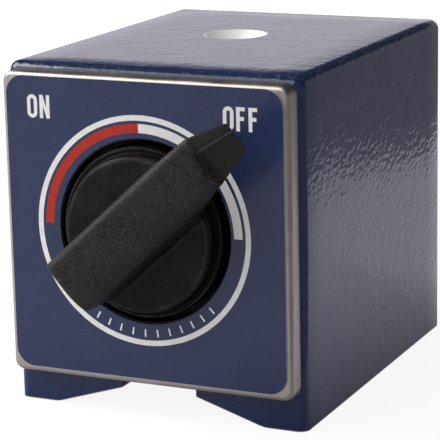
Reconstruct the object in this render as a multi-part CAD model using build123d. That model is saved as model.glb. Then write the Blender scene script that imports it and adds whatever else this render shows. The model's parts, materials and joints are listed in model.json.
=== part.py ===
from build123d import *
from math import asin, cos, degrees, radians, sin, sqrt, tan
import os

# Magnetic base for a dial indicator stand, switched on and off by a rotary magnet.
# Millimetres, +Z up, the knob faces -Y.
# The origin lies under the middle of the overall length, at the level of the feet.

# Outside of the steel body
body_width = 50.0
body_length = 63.0
body_height = 55.0
body_edge_radius = 1.6

# Groove between the feet, which seats the base on flat or round work
foot_width = 7.0
groove_rise = 3.6
foot_corner_radius = 6.0
slot_width = 13.0
slot_height = 7.0

# Bore for the magnet rotor, with a recess at each end
bore_radius = 15.0
bore_drop = 0.75
front_recess_step = 4.0
front_recess_depth = 3.0
rear_recess_step = 5.6
rear_recess_depth = 2.5

# Threaded hole for the column, in the top
thread_radius = 3.4
thread_countersink_radius = 5.25
thread_roof = 0.9
thread_side_offset = 1.8
thread_setback = 36.0

# Front plate and the printed label on it
plate_size = 48.4
plate_thickness = 3.0
plate_drop = 0.45
plate_corner_radius = 1.7
plate_edge_radius = 0.8
plate_hole_radius = 14.4
plate_screw_inset = 4.2
label_side_inset = 0.9
label_end_inset = 0.8
label_rise = 0.3
label_thickness = 0.3
label_corner_radius = 3.0
label_hole_margin = 0.2

# Fits between the pieces
cap_running_gap = 0.08
pole_air_gap = 0.2
rotor_end_gap = 0.3
recess_side_gap = 0.3
index_end_gap = 0.25
cover_side_gap = 0.1
square_side_gap = 0.05
spindle_end_gap = 0.2
stop_side_gap = 0.2
spring_end_gap = 0.25
magnet_side_gap = 0.43
edge_break = 0.4

# Knob, with heights from the front of the front plate
rest_angle = 42.0
knob_travel = 90.0
knob_side_gap = 0.9
knob_flange_rise = 1.0
knob_disc_step = 1.25
knob_disc_rise = 3.0
knob_disc_edge = 0.7

# Handle across the knob, measured from the axis
handle_width = 9.5
handle_rise = 14.3
handle_back_reach = 9.4
handle_waist = 14.0
handle_shoulder = 22.0
handle_shoulder_width = 8.8
handle_root = 10.5
handle_side_draft = 0.4
handle_top_radius = 1.6
handle_end_radius = 1.0
handle_end_lean = 0.8

# Pointed nose of the handle, which slopes down beyond its shoulder
nose_step = 1.0
nose_step_run = 1.2
nose_step_radius = 0.4
nose_reach = 27.1
nose_drop = 4.5
nose_width = 7.1
nose_undercut = 2.6
nose_rake = 1.5
nose_floor_rise = 7.6
arrow_width = 3.0
arrow_end_width = 1.6
arrow_depth = 1.2
arrow_end_depth = 0.6

# Stop between knob and body
index_thickness = 2.45
stop_pin_radius = 1.1
stop_pin_wall = 1.1
stop_pin_depth = 5.0
stop_pin_angle = 180.0

# Square drive from the knob to the rotor
spindle_square = 9.0

# Magnet rotor
cap_thickness = 4.0
magnet_thickness = 10.0
rotor_screw_side = 5.0
rotor_screw_edge = 4.6

# Spring behind the rotor
spring_inner_radius = 5.2
spring_outer_radius = 10.0
spring_thickness = 0.5
spring_height = 0.95

# Countersunk screws: thread radius, head radius and length, by place
plate_screw = (1.5, 2.9, 10.0)
cover_screw = (1.25, 2.3, 7.0)
knob_screw = (1.25, 2.2, 6.0)
rotor_screw = (1.5, 2.6, 11.0)
screw_drive_radius = 0.9
screw_drive_depth = 0.9
cover_screw_step = 2.9
cover_screw_count = 3
knob_screw_circle = 8.6
knob_screw_count = 3

# Places that follow from the sizes above
axis_height = (body_height + slot_height) / 2 - bore_drop
knob_reach = plate_thickness + handle_rise
front_y = (knob_reach - body_length) / 2
rear_y = front_y + body_length
front_recess_radius = bore_radius + front_recess_step
rear_recess_radius = bore_radius + rear_recess_step
cover_screw_circle = bore_radius + cover_screw_step
stop_circle_radius = bore_radius + stop_pin_wall + stop_pin_radius
knob_flange_radius = plate_hole_radius - knob_side_gap
knob_disc_radius = knob_flange_radius - knob_disc_step
plate_screw_offset = plate_size / 2 - plate_screw_inset

# Heights along the axis, from the front face of the body towards the user
knob_disc_top = plate_thickness + knob_disc_rise
handle_top = plate_thickness + handle_rise
nose_start = handle_top - nose_step
nose_end = handle_top - nose_drop
index_front = -index_end_gap
index_back = index_front - index_thickness
rotor_front = -front_recess_depth - rotor_end_gap
cover_front = -body_length + rear_recess_depth
rotor_back = cover_front + spring_height + spring_end_gap
magnets_front = rotor_front - cap_thickness
magnets_back = rotor_back + cap_thickness

# Rotor sections
cap_radius = bore_radius - cap_running_gap
pole_radius = bore_radius - pole_air_gap
magnet_width = 2 * (sqrt(pole_radius**2 - (magnet_thickness / 2) ** 2) - magnet_side_gap)
rotor_screw_rise = magnet_thickness / 2 + rotor_screw_edge
spindle_hole = spindle_square + 2 * square_side_gap

# The axis of the bore, with local z towards the user: first unturned, then turned with the knob
bore_plane = Plane(origin=(0, front_y, axis_height), x_dir=(1, 0, 0), z_dir=(0, -1, 0))
switch_plane = Plane(
    origin=(0, front_y, axis_height),
    x_dir=(cos(radians(rest_angle)), 0, sin(radians(rest_angle))),
    z_dir=(0, -1, 0),
)


def disc(radius, low, high):
    """A cylinder along local z from low to high."""
    return Pos(0, 0, (low + high) / 2) * Cylinder(radius, high - low)


def block(x_size, y_size, low, high):
    """A box centred on the axis, along local z from low to high."""
    return Pos(0, 0, (low + high) / 2) * Box(x_size, y_size, high - low)


def around(radius, count, start=90.0):
    """Places evenly spaced on a circle."""
    return [Location(p) for p in PolarLocations(radius, count, start_angle=start).local_locations]


def screw_hole(sizes, head_face):
    """The seat and hole that a countersunk screw fills, along -z from head_face."""
    shank_radius, head_radius, length = sizes
    cone = head_radius - shank_radius
    outline = Polyline(
        (0, 0), (head_radius, 0), (shank_radius, -cone), (shank_radius, -length), (0, -length),
        close=True,
    )
    return Pos(0, 0, head_face) * revolve(Plane.XZ * make_face(outline), Axis.Z)


def screw(sizes, head_face):
    """A countersunk screw with a socket in its head, flush with head_face."""
    socket = Pos(0, 0, head_face) * extrude(RegularPolygon(screw_drive_radius, 6), -screw_drive_depth)
    return screw_hole(sizes, head_face) - socket


def turned_over(shape, face):
    """A shape made for a head at face, turned so that the head faces the rear."""
    return Pos(0, 0, face) * Rot(180, 0, 0) * Pos(0, 0, -face) * shape


def copies(places, shape):
    """A list of a shape at each place."""
    return [place * shape for place in places]


def corner_places(x_side, y_side):
    """Four places at the corners of a rectangle around the axis."""
    return [Location((x, y, 0)) for x in (-x_side, x_side) for y in (-y_side, y_side)]


plate_place = Pos(0, -plate_drop, 0)
plate_screw_places = [plate_place * p for p in corner_places(plate_screw_offset, plate_screw_offset)]
cover_screw_places = around(cover_screw_circle, cover_screw_count)
knob_screw_places = around(knob_screw_circle, knob_screw_count)
rotor_screw_places = corner_places(rotor_screw_side, rotor_screw_rise)
stop_place = Pos(
    stop_circle_radius * cos(radians(stop_pin_angle)), stop_circle_radius * sin(radians(stop_pin_angle)), 0
)


def groove_section():
    """The section cut out under the body: wide shallow slopes with a slot in the middle."""
    foot_inner = body_width / 2 - foot_width
    slot_side = slot_width / 2
    outline = Polyline(
        (-foot_inner, 0), (-slot_side, groove_rise), (-slot_side, slot_height),
        (slot_side, slot_height), (slot_side, groove_rise), (foot_inner, 0),
        (body_width / 2, 0), (body_width / 2, -1), (-body_width / 2, -1), (-body_width / 2, 0),
        close=True,
    )
    section = make_face(outline)
    corners = [v for v in section.vertices() if abs(abs(v.X) - foot_inner) < 0.01]
    return fillet(corners, foot_corner_radius)


def body_form():
    """The outside of the body as one solid, grooved underneath, before it is bored and divided."""
    form = Pos(0, (front_y + rear_y) / 2, body_height / 2) * Box(body_width, body_length, body_height)
    sharp = [e for e in form.edges() if e.center().Z > body_height / 4]
    form = fillet(sharp, body_edge_radius)
    groove_plane = Plane(origin=(0, rear_y + 1, 0), x_dir=(1, 0, 0), z_dir=(0, -1, 0))
    return form - extrude(groove_plane * groove_section(), body_length + 2)


def rotor_space():
    """The bore with its front and rear recesses."""
    space = disc(bore_radius, -body_length - 1, 1)
    space += disc(front_recess_radius, -front_recess_depth, 1)
    space += disc(rear_recess_radius, -body_length - 1, -body_length + rear_recess_depth)
    return bore_plane * space


def thread_space():
    """The tapped hole for the column, with its countersink."""
    thread_x = -thread_side_offset
    roof_height = axis_height + sqrt(bore_radius**2 - thread_x**2) + thread_roof
    cone = thread_countersink_radius - thread_radius
    outline = Polyline(
        (0, roof_height), (thread_radius, roof_height), (thread_radius, body_height - cone),
        (thread_countersink_radius, body_height), (thread_countersink_radius, body_height + 1),
        (0, body_height + 1), close=True,
    )
    hole = revolve(Plane.XZ * make_face(outline), Axis.Z)
    return Pos(thread_x, front_y + thread_setback, 0) * hole


def body_holes():
    """Everything bored into the body: rotor, column thread, screws and stop pin."""
    holes = [rotor_space(), thread_space()]
    holes += [bore_plane * h for h in copies(plate_screw_places, screw_hole(plate_screw, plate_thickness))]
    cover_hole = turned_over(screw_hole(cover_screw, -body_length), -body_length)
    holes += [bore_plane * h for h in copies(cover_screw_places, cover_hole)]
    holes.append(bore_plane * stop_place * disc(stop_pin_radius, -front_recess_depth - stop_pin_depth, 0))
    return holes


def body_parts():
    """The two iron pole blocks and the two spacers that keep them apart."""
    bored = body_form() - body_holes()
    side = slot_width / 2
    far = body_width + body_length + body_height
    left = bored & Pos(-side - far / 2, 0, 0) * Box(far, 2 * far, 2 * far)
    right = bored & Pos(side + far / 2, 0, 0) * Box(far, 2 * far, 2 * far)
    middle = bored & Box(slot_width, 2 * far, 2 * far)
    spacers = middle.solids().sort_by(Axis.Z)
    return left, right, spacers[-1], spacers[0]


def front_plate():
    """The square plate that holds the knob in, screwed over the front of the bore."""
    square = plate_place * RectangleRounded(plate_size, plate_size, plate_corner_radius)
    plate = extrude(square, plate_thickness)
    plate = fillet(plate.edges().group_by(Axis.Z)[-1], plate_edge_radius)
    plate -= disc(plate_hole_radius, -1, plate_thickness + 1)
    plate -= copies(plate_screw_places, screw_hole(plate_screw, plate_thickness))
    return bore_plane * plate


def front_plate_screws():
    """The four screws that hold the front plate, covered by the label."""
    return [bore_plane * s for s in copies(plate_screw_places, screw(plate_screw, plate_thickness))]


def face_label():
    """The printed sheet on the front plate, which hides the plate's screws."""
    width = plate_size - 2 * label_side_inset
    height = plate_size - 2 * label_end_inset
    sheet = plate_place * Pos(0, label_rise, 0) * RectangleRounded(width, height, label_corner_radius)
    label = extrude(sheet, label_thickness)
    label -= disc(plate_hole_radius + label_hole_margin, -1, label_thickness + 1)
    return bore_plane * Pos(0, 0, plate_thickness) * label


def stop_pin():
    """A pin in the floor of the front recess, which ends the knob's travel both ways."""
    pin = disc(stop_pin_radius, -front_recess_depth - stop_pin_depth, -index_end_gap)
    return bore_plane * stop_place * pin


def rear_cover():
    """The round cover over the rear of the bore."""
    cover = disc(rear_recess_radius - cover_side_gap, -body_length, cover_front)
    cover = chamfer(cover.edges().group_by(Axis.Z)[0], edge_break)
    cover_hole = turned_over(screw_hole(cover_screw, -body_length), -body_length)
    return bore_plane * (cover - copies(cover_screw_places, cover_hole))


def rear_cover_screws():
    """The screws that hold the rear cover."""
    one = turned_over(screw(cover_screw, -body_length), -body_length)
    return [bore_plane * s for s in copies(cover_screw_places, one)]


def disc_spring():
    """A dished washer on the rear cover, which keeps the rotor forward."""
    outline = Polyline(
        (spring_outer_radius, cover_front), (spring_outer_radius, cover_front + spring_thickness),
        (spring_inner_radius, cover_front + spring_height),
        (spring_inner_radius, cover_front + spring_height - spring_thickness),
        close=True,
    )
    return bore_plane * revolve(Plane.XZ * make_face(outline), Axis.Z)


def hull_outline(*stations):
    """The handle seen from the front at one height, from its reach and width at some stations."""
    side = [(reach, width / 2) for reach, width in stations]
    mirrored = [(x, -y) for x, y in reversed(side)]
    return make_face(Polyline(*side, *mirrored, close=True))


def handle_plan():
    """The handle as a hull: square over the disc, undercut all round its nose."""
    back = (-handle_back_reach - handle_end_lean, handle_width)
    slope = nose_undercut / (handle_top - knob_disc_top)
    deck_reach = nose_reach + slope * nose_drop
    deck = hull_outline(
        back, (handle_waist, handle_width),
        (handle_shoulder, handle_shoulder_width), (deck_reach, nose_width),
    )
    keel = hull_outline(
        back, (handle_root, handle_width),
        (handle_shoulder - nose_undercut, handle_shoulder_width - 2 * nose_undercut),
        (deck_reach - nose_undercut, nose_width - 2 * nose_undercut),
    )
    return loft([Pos(0, 0, knob_disc_top) * keel, Pos(0, 0, handle_top) * deck], ruled=True)


def handle_across():
    """The handle's cross-section along its whole length, drafted and rounded on top."""
    side = handle_width / 2
    crown = side - (handle_top - knob_disc_top) * tan(radians(handle_side_draft))
    corners = [(side, knob_disc_top), (crown, handle_top), (-crown, handle_top), (-side, knob_disc_top)]
    section = make_face(Polyline(*corners, close=True))
    section = fillet(section.vertices().group_by(Axis.Y)[-1], handle_top_radius)
    return extrude(Plane.YZ * section, 2 * nose_reach, both=True)


def handle_along():
    """The handle's outline from the side: leaning back end, crease, sloping nose and underside."""
    crease = (handle_shoulder + nose_step_run, nose_start)
    outline = Polyline(
        (-handle_back_reach - handle_end_lean, knob_disc_top), (-handle_back_reach, handle_top),
        (handle_shoulder, handle_top), crease, (nose_reach, nose_end),
        (nose_reach - nose_rake, plate_thickness + nose_floor_rise), (handle_root, knob_disc_top),
        close=True,
    )
    section = make_face(outline)
    back_corner = section.vertices().sort_by_distance((-handle_back_reach, handle_top))[0]
    section = fillet(back_corner, handle_end_radius)
    section = fillet(section.vertices().sort_by_distance(crease)[0], nose_step_radius)
    return extrude(Plane.XZ * section, handle_width, both=True)


def arrow_channel():
    """The arrow on the nose: a narrowing channel, deepest under the handle's shoulder."""
    start = handle_shoulder + nose_step_run / 2
    wide = Rectangle(arrow_width, 2 * nose_drop, align=(Align.CENTER, Align.MIN))
    narrow = Rectangle(arrow_end_width, 2 * nose_drop, align=(Align.CENTER, Align.MIN))
    near = Plane.YZ.offset(start) * Pos(0, nose_start - arrow_depth) * wide
    far = Plane.YZ.offset(nose_reach + nose_step_run) * Pos(0, nose_end - arrow_end_depth) * narrow
    return loft([near, far], ruled=True)


def knob():
    """The moulded knob: flange, raised disc and handle in one piece."""
    flange = disc(knob_flange_radius, index_front, plate_thickness + knob_flange_rise)
    raised = disc(knob_disc_radius, plate_thickness, knob_disc_top)
    raised = fillet(raised.edges().group_by(Axis.Z)[-1], knob_disc_edge)
    handle = (handle_plan() & handle_across() & handle_along()) - arrow_channel()
    whole = flange + raised + handle
    screw_seat = turned_over(screw_hole(knob_screw, index_back), index_back)
    return switch_plane * (whole - copies(knob_screw_places, screw_seat))


def stop_notch():
    """The space in the index plate's rim that the stop pin moves through."""
    margin = degrees(asin((stop_pin_radius + stop_side_gap) / stop_circle_radius))
    inner = stop_circle_radius - stop_pin_radius - stop_side_gap
    outer = front_recess_radius + 1
    outline = Polyline(
        (inner, index_back - 1), (outer, index_back - 1), (outer, index_front + 1), (inner, index_front + 1),
        close=True,
    )
    notch = revolve(Plane.XZ * make_face(outline), Axis.Z, knob_travel + 2 * margin)
    return Rot(0, 0, stop_pin_angle - rest_angle - knob_travel - margin) * notch


def index_plate():
    """The steel plate behind the knob, with a square for the drive and a stop notch in its rim."""
    plate = disc(front_recess_radius - recess_side_gap, index_back, index_front)
    plate -= block(spindle_hole, spindle_hole, index_back - 1, index_front + 1)
    plate -= stop_notch()
    screw_seat = turned_over(screw_hole(knob_screw, index_back), index_back)
    return switch_plane * (plate - copies(knob_screw_places, screw_seat))


def knob_screws():
    """The screws that hold the index plate to the back of the knob."""
    one = turned_over(screw(knob_screw, index_back), index_back)
    return [switch_plane * s for s in copies(knob_screw_places, one)]


def drive_spindle():
    """The square bar that carries the knob's turn into the rotor."""
    spindle = block(spindle_square, spindle_square, magnets_front, index_front - spindle_end_gap)
    spindle = chamfer(spindle.edges().group_by(Axis.Z)[-1], edge_break)
    return switch_plane * spindle


def on_rotor(shape):
    """Places a rotor shape so that its magnets lie level while the switch is off."""
    return switch_plane * Rot(0, 0, -rest_angle) * shape


def rotor_front_cap():
    """The non-magnetic front end of the rotor, which runs in the bore and takes the square drive."""
    cap = disc(cap_radius, magnets_front, rotor_front)
    cap = chamfer(cap.edges().group_by(Axis.Z)[-1], edge_break)
    cap -= copies(rotor_screw_places, screw_hole(rotor_screw, rotor_front))
    cap -= Rot(0, 0, rest_angle) * block(spindle_hole, spindle_hole, magnets_front - 1, rotor_front + 1)
    return on_rotor(cap)


def rotor_rear_cap():
    """The non-magnetic rear end of the rotor."""
    cap = disc(cap_radius, rotor_back, magnets_back)
    cap = chamfer(cap.edges().group_by(Axis.Z)[0], edge_break)
    cap -= copies(rotor_screw_places, turned_over(screw_hole(rotor_screw, rotor_back), rotor_back))
    return on_rotor(cap)


def rotor_front_screws():
    """The screws that hold the front cap to the poles."""
    return [on_rotor(s) for s in copies(rotor_screw_places, screw(rotor_screw, rotor_front))]


def rotor_rear_screws():
    """The screws that hold the rear cap to the poles."""
    one = turned_over(screw(rotor_screw, rotor_back), rotor_back)
    return [on_rotor(s) for s in copies(rotor_screw_places, one)]


def rotor_magnets():
    """Two ferrite slabs, one behind the other, between the rotor's poles."""
    middle = (magnets_front + magnets_back) / 2
    front = block(magnet_width, magnet_thickness, middle, magnets_front)
    rear = block(magnet_width, magnet_thickness, magnets_back, middle)
    return on_rotor(front), on_rotor(rear)


def rotor_poles():
    """The iron segments on either side of the magnets, which carry their field to the bore."""
    round_bar = disc(pole_radius, magnets_back, magnets_front)
    round_bar -= copies(rotor_screw_places, screw_hole(rotor_screw, rotor_front))
    round_bar -= copies(rotor_screw_places, turned_over(screw_hole(rotor_screw, rotor_back), rotor_back))
    reach = 2 * pole_radius
    half_space = block(2 * reach, reach, magnets_back, magnets_front)
    above = Pos(0, (magnet_thickness + reach) / 2, 0) * half_space
    below = Pos(0, -(magnet_thickness + reach) / 2, 0) * half_space
    return on_rotor(round_bar & above), on_rotor(round_bar & below)


def save(name, shape):
    """Writes one piece, or a group of like pieces, as a STEP file of its own."""
    pieces = shape if isinstance(shape, list) else [shape]
    solids = [s for piece in pieces for s in piece.solids()]
    whole = solids[0] if len(solids) == 1 else Compound(children=solids)
    whole.label = name
    export_step(whole, os.path.join("parts", name + ".step"))


os.makedirs("parts", exist_ok=True)

left_pole_block, right_pole_block, top_spacer, bottom_spacer = body_parts()
save("left_pole_block", left_pole_block)
save("right_pole_block", right_pole_block)
save("top_spacer", top_spacer)
save("bottom_spacer", bottom_spacer)
save("front_plate", front_plate())
save("front_plate_screws", front_plate_screws())
save("face_label", face_label())
save("stop_pin", stop_pin())
save("rear_cover", rear_cover())
save("rear_cover_screws", rear_cover_screws())
save("disc_spring", disc_spring())

save("knob", knob())
save("index_plate", index_plate())
save("knob_screws", knob_screws())
save("drive_spindle", drive_spindle())
magnet_front, magnet_rear = rotor_magnets()
pole_upper, pole_lower = rotor_poles()
save("rotor_front_cap", rotor_front_cap())
save("rotor_rear_cap", rotor_rear_cap())
save("rotor_front_screws", rotor_front_screws())
save("rotor_rear_screws", rotor_rear_screws())
save("rotor_magnet_front", magnet_front)
save("rotor_magnet_rear", magnet_rear)
save("rotor_pole_upper", pole_upper)
save("rotor_pole_lower", pole_lower)
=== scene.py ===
import json
import math

import bmesh
import bpy
from mathutils import Matrix, Vector


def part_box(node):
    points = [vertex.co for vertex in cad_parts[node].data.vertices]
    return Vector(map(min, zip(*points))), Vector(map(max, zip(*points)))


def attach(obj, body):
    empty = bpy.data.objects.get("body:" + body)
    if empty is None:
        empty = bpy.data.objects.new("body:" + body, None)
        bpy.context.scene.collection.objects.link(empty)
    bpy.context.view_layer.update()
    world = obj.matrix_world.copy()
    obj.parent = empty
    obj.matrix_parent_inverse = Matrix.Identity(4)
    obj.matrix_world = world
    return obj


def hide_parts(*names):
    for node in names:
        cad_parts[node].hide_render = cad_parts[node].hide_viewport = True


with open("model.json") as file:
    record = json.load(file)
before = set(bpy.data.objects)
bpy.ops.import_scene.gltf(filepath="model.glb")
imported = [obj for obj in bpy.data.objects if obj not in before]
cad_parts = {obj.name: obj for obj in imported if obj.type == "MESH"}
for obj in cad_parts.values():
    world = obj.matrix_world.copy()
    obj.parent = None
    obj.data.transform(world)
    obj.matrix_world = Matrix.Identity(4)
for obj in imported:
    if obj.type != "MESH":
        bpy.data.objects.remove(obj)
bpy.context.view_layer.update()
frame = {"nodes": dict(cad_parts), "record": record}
nodes = frame["nodes"]
mm = 0.001
print("frame loaded:", len(nodes), "nodes")

# the knob's axis and the faces that pieces sit on, all from the frame
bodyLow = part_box("left_pole_block")[0]
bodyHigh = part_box("right_pole_block")[1]
coverLow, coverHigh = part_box("rear_cover")
axisZ = (coverLow[2] + coverHigh[2]) / 2
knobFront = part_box("knob")[0][1]
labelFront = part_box("face_label")[0][1]


# Materials

def newMaterial(name):
    material = bpy.data.materials.new(name)
    material.use_nodes = True
    tree = material.node_tree
    shader = tree.nodes["Principled BSDF"]
    return material, tree, shader


def objectCoordinates(tree, stretch=(1, 1, 1)):
    texture = tree.nodes.new("ShaderNodeTexCoord")
    mapping = tree.nodes.new("ShaderNodeMapping")
    mapping.inputs["Scale"].default_value = stretch
    tree.links.new(texture.outputs["Object"], mapping.inputs["Vector"])
    return mapping.outputs["Vector"]


def addNoise(tree, vector, scale, detail=2.0, roughness=0.5):
    noise = tree.nodes.new("ShaderNodeTexNoise")
    noise.inputs["Scale"].default_value = scale
    noise.inputs["Detail"].default_value = detail
    noise.inputs["Roughness"].default_value = roughness
    tree.links.new(vector, noise.inputs["Vector"])
    return noise.outputs["Fac"]


def addRange(tree, value, fromLow, fromHigh, toLow, toHigh):
    node = tree.nodes.new("ShaderNodeMapRange")
    node.inputs["From Min"].default_value = fromLow
    node.inputs["From Max"].default_value = fromHigh
    node.inputs["To Min"].default_value = toLow
    node.inputs["To Max"].default_value = toHigh
    tree.links.new(value, node.inputs["Value"])
    return node.outputs["Result"]


def addMath(tree, operation, first, second=None):
    node = tree.nodes.new("ShaderNodeMath")
    node.operation = operation
    for socket, value in zip(node.inputs, (first, second)):
        if value is None:
            continue
        if isinstance(value, (int, float)):
            socket.default_value = value
        else:
            tree.links.new(value, socket)
    return node.outputs["Value"]


def addMix(tree, factor, first, second):
    # between two colours
    node = tree.nodes.new("ShaderNodeMix")
    node.data_type = "RGBA"
    tree.links.new(factor, node.inputs["Factor"])
    for socket, value in ((node.inputs["A"], first), (node.inputs["B"], second)):
        if isinstance(value, tuple):
            socket.default_value = value
        else:
            tree.links.new(value, socket)
    return node.outputs["Result"]


def addMixValue(tree, factor, first, second):
    # between two numbers
    node = tree.nodes.new("ShaderNodeMix")
    node.data_type = "FLOAT"
    tree.links.new(factor, node.inputs["Factor"])
    for socket, value in ((node.inputs["A"], first), (node.inputs["B"], second)):
        if isinstance(value, (int, float)):
            socket.default_value = value
        else:
            tree.links.new(value, socket)
    return node.outputs["Result"]


def addBump(tree, shader, height, distance, strength=1.0, under=None):
    bump = tree.nodes.new("ShaderNodeBump")
    bump.inputs["Distance"].default_value = distance
    bump.inputs["Strength"].default_value = strength
    tree.links.new(height, bump.inputs["Height"])
    if under is not None:
        tree.links.new(under, bump.inputs["Normal"])
    tree.links.new(bump.outputs["Normal"], shader.inputs["Normal"])
    return bump.outputs["Normal"]


def mottle(tree, pattern, first, second):
    # from one colour to the other as the pattern rises
    return addMix(tree, addRange(tree, pattern, 0.3, 0.7, 0, 1), first, second)


def darken(colour, share):
    return tuple(share * c for c in colour[:3]) + (1,)


def setRoughness(tree, shader, pattern, middle, less, more):
    # rougher where the pattern is high
    rough = addRange(tree, pattern, 0.3, 0.7, middle - less, middle + more)
    tree.links.new(rough, shader.inputs["Roughness"])


# the column's hole, which the paint leaves bare
columnHole = next(m for m in frame["record"]["mounts"] if m["name"] == "column_thread")
holeX, holeY = columnHole["pos_m"][0], columnHole["pos_m"][1]

hammeredPaint = {
    "blue": (0.0130, 0.0255, 0.086, 1),
    "deepBlue": (0.0095, 0.0195, 0.068, 1),
    "speckColour": (0.16, 0.20, 0.30, 1),
    # painted sheen: the near-white steel of the column hole
    "holeSheenWhite": (0.95, 0.945, 0.94, 1),
    "groundSteel": (0.60, 0.59, 0.575, 1),
    "dullSteel": (0.48, 0.47, 0.455, 1),
    "holeMetallic": 0.25,
    "groundMetallic": 0.9,
    "dimpleScale": 800,
    "dimpleStretch": 1.6,
    "dimpleHeight": 0.052 * mm,
    "topDimples": 0.56,
    "flatFrom": 0.25 * mm,
    "flatTo": 0.02 * mm,
    "swellScale": 170,
    "swellHeight": 0.05 * mm,
    "crownReach": 7.0 * mm,
    "crownDrop": 0.36 * mm,
    "grainScale": 3200,
    "grainHeight": 0.004 * mm,
    "roughness": 0.13,
    "speckScale": 520,
    "speckSize": 0.055,
    "speckShare": 0.03,
    # painted shade and painted highlights for the upper edges
    "paintedEdgeShade": (0.012, 0.023, 0.060, 1),
    "paintedEdgeGlints": (0.085, 0.108, 0.16, 1),
    "edgeGlintScale": 2300,
    "edgeGlintSize": 0.24,
    "edgeGlintShare": 0.45,
    "edgeReach": 1.7 * mm,
    "bareHoleRadius": 5.35 * mm,
    "bareHoleDepth": 12.0 * mm,
    "bareEdge": 0.1 * mm,
    "bareRoughness": 0.16,
    "latheScale": 1400,
    "latheStretch": 5,
    "metalChange": 1.0 * mm,
    "groundBelow": 0.12 * mm,
    "groundEdge": 0.06 * mm,
    "grooveFoot": 18.0 * mm,
    "grooveSlot": 6.5 * mm,
    "grooveRise": 3.6 * mm,
}


def addSteps(tree, value, middle, width, falling=False):
    # 0 below the middle and 1 above it, or the other way round
    return addRange(tree, value, middle - width / 2, middle + width / 2, int(falling), int(not falling))


def splitVector(tree, vector):
    split = tree.nodes.new("ShaderNodeSeparateXYZ")
    tree.links.new(vector, split.inputs[0])
    return split.outputs["X"], split.outputs["Y"], split.outputs["Z"]


def addRadius(tree, first, second):
    # distance of a point from an axis, given its two offsets
    squares = [addMath(tree, "POWER", value, 2.0) for value in (first, second)]
    return addMath(tree, "SQRT", addMath(tree, "ADD", *squares))


def addAxisDistance(tree, vector):
    # distance from the knob's axis
    x, _, z = splitVector(tree, vector)
    return addRadius(tree, x, addMath(tree, "SUBTRACT", z, axisZ))


def addSpecks(tree, vector, scale, size, share):
    # a few small round dots, each cell of the pattern holding one or none
    cells = tree.nodes.new("ShaderNodeTexVoronoi")
    cells.inputs["Scale"].default_value = scale
    tree.links.new(vector, cells.inputs["Vector"])
    near = addRange(tree, cells.outputs["Distance"], size, size * 1.6, 1, 0)
    lot = splitVector(tree, cells.outputs["Color"])[0]
    chosen = addMath(tree, "LESS_THAN", lot, share)
    return addMath(tree, "MULTIPLY", near, chosen)


def addDimples(tree, vector, scale):
    # rounded bumps that crowd each other, as in thick sprayed paint
    cells = tree.nodes.new("ShaderNodeTexVoronoi")
    cells.feature = "SMOOTH_F1"
    cells.inputs["Scale"].default_value = scale
    cells.inputs["Smoothness"].default_value = 0.6
    tree.links.new(vector, cells.inputs["Vector"])
    noise = addNoise(tree, vector, 0.8 * scale, 1.0, 0.4)
    return addMath(tree, "ADD", noise, addMath(tree, "MULTIPLY", cells.outputs["Distance"], -0.5))


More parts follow.
